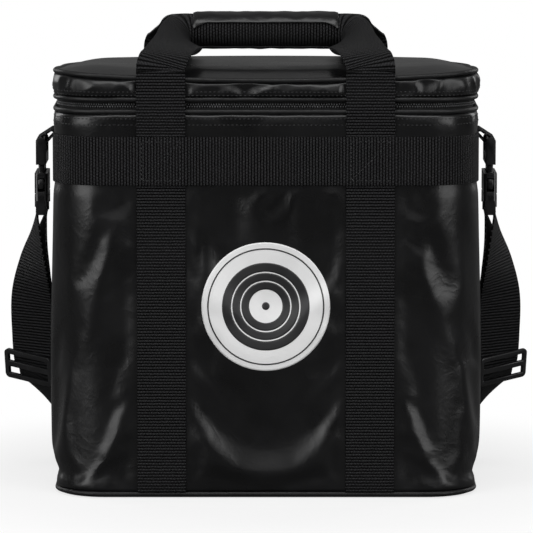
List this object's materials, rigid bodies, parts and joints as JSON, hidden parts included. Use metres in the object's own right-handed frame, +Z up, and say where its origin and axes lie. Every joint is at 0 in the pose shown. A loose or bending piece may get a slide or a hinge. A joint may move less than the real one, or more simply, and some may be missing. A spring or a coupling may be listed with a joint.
{
  "type": "record carrying case",
  "caption": "Soft-sided padded case for vinyl records with a zipped hinged lid, webbing carry handles joined by a grip wrap and a clip-on shoulder strap.",
  "frame": {"origin": "centre of the flat base, on the surface the case stands on", "axes": "+Z up out of the base; the front face with the round emblem faces -Y; +X to the right seen from the front"},
  "size_m": [0.4468, 0.2383, 0.3956],
  "materials": {
    "coated_cover": "glossy coated nylon",
    "webbing": "ribbed polypropylene webbing, matt",
    "piping": "covered cord, semi-gloss",
    "foam": "closed-cell foam, matt",
    "lining": "woven nylon lining",
    "board": "stiff board, matt",
    "zip_tape": "woven tape",
    "zip_coil": "moulded coil",
    "zip_metal": "black painted",
    "buckle_plastic": "moulded acetal, satin",
    "emblem_white": "screen print, satin",
    "emblem_black": "screen print, satin"
  },
  "bodies": {
    "case": {"bottom_panel": "coated_cover", "base_piping": "piping", "base_board": "board", "body_cover": "coated_cover", "body_foam": "foam", "body_lining": "lining", "rim_piping": "piping", "zip_tape_lower": "zip_tape", "zip_coil_lower": "zip_coil", "hinge_strip_lower": "zip_tape", "body_band": "webbing", "front_webbing_left": "webbing", "front_webbing_right": "webbing", "rear_webbing_left": "webbing", "rear_webbing_right": "webbing", "emblem_disc": "emblem_white", "emblem_rings": "emblem_black"},
    "lid": {"lid_panel": "coated_cover", "lid_foam": "foam", "lid_lining": "lining", "lid_skirt": "coated_cover", "lid_piping": "piping", "lid_edge_piping": "piping", "zip_tape_upper": "zip_tape", "zip_coil_upper": "zip_coil", "hinge_strip_upper": "zip_tape"},
    "front_legs": {"front_handle_leg_left": "webbing", "front_handle_leg_right": "webbing"},
    "front_grip": {"front_handle_loop": "webbing"},
    "rear_legs": {"rear_handle_leg_left": "webbing", "rear_handle_leg_right": "webbing"},
    "rear_grip": {"rear_handle_loop": "webbing", "grip_wrap": "coated_cover"},
    "slider": {"zip_slider": "zip_metal"},
    "pull": {"zip_pull": "zip_metal"},
    "strap": {"shoulder_strap": "webbing", "strap_return_left": "webbing", "strap_return_right": "webbing", "strap_loop_left": "webbing", "strap_loop_right": "webbing", "adjuster_left": "buckle_plastic", "adjuster_right": "buckle_plastic", "buckle_socket_left": "buckle_plastic", "buckle_socket_right": "buckle_plastic", "buckle_plug_left": "buckle_plastic", "buckle_plug_right": "buckle_plastic"},
    "prong_lf": {"prong_left_front": "buckle_plastic"},
    "prong_lr": {"prong_left_rear": "buckle_plastic"},
    "prong_rf": {"prong_right_front": "buckle_plastic"},
    "prong_rr": {"prong_right_rear": "buckle_plastic"}
  },
  "joints": [
    {"name": "lid_hinge", "type": "hinge", "parent": "case", "child": "lid", "pos_m": [0, 0.1137, 0.3255], "axis": [-1, 0, 0], "range_deg": [0, 75]},
    {"name": "front_leg_fold", "type": "hinge", "parent": "case", "child": "front_legs", "pos_m": [0, -0.1161, 0.3006], "axis": [1, 0, 0], "range_deg": [0, 165]},
    {"name": "front_grip_fold", "type": "hinge", "parent": "front_legs", "child": "front_grip", "pos_m": [0, -0.116, 0.352], "axis": [1, 0, 0], "range_deg": [0, 82.5]},
    {"name": "rear_leg_fold", "type": "hinge", "parent": "case", "child": "rear_legs", "pos_m": [0, 0.1161, 0.3006], "axis": [-1, 0, 0], "range_deg": [0, 165]},
    {"name": "rear_grip_fold", "type": "hinge", "parent": "rear_legs", "child": "rear_grip", "pos_m": [0, 0.116, 0.352], "axis": [-1, 0, 0], "range_deg": [0, 82.5]},
    {"name": "slider_travel", "type": "slide", "parent": "case", "child": "slider", "axis": [0, -1, 0], "range_m": [0, 0.1]},
    {"name": "pull_flip", "type": "hinge", "parent": "slider", "child": "pull", "pos_m": [0.1757, 0.0615, 0.3255], "axis": [0, 0, 1], "range_deg": [0, 170]},
    {"name": "strap_swing", "type": "hinge", "parent": "case", "child": "strap", "pos_m": [0, 0, 0.2945], "axis": [1, 0, 0], "range_deg": [0, 290]},
    {"name": "left_front_press", "type": "hinge", "parent": "strap", "child": "prong_lf", "pos_m": [-0.189, -0.0132, 0.2677], "axis": [1, 0, 0], "range_deg": [0, 8], "stiffness_Nm_per_rad": 0.02},
    {"name": "left_rear_press", "type": "hinge", "parent": "strap", "child": "prong_lr", "pos_m": [-0.189, 0.0132, 0.2677], "axis": [-1, 0, 0], "range_deg": [0, 8], "stiffness_Nm_per_rad": 0.02},
    {"name": "right_front_press", "type": "hinge", "parent": "strap", "child": "prong_rf", "pos_m": [0.189, -0.0132, 0.2677], "axis": [1, 0, 0], "range_deg": [0, 8], "stiffness_Nm_per_rad": 0.02},
    {"name": "right_rear_press", "type": "hinge", "parent": "strap", "child": "prong_rr", "pos_m": [0.189, 0.0132, 0.2677], "axis": [-1, 0, 0], "range_deg": [0, 8], "stiffness_Nm_per_rad": 0.02}
  ],
  "couplings": [
    {"joint": "front_leg_fold", "follows": "lid_hinge", "ratio": 2.2},
    {"joint": "front_grip_fold", "follows": "lid_hinge", "ratio": 1.1},
    {"joint": "rear_leg_fold", "follows": "lid_hinge", "ratio": 2.2},
    {"joint": "rear_grip_fold", "follows": "lid_hinge", "ratio": 1.1},
    {"joint": "left_rear_press", "follows": "left_front_press", "ratio": 1},
    {"joint": "right_rear_press", "follows": "right_front_press", "ratio": 1}
  ]
}
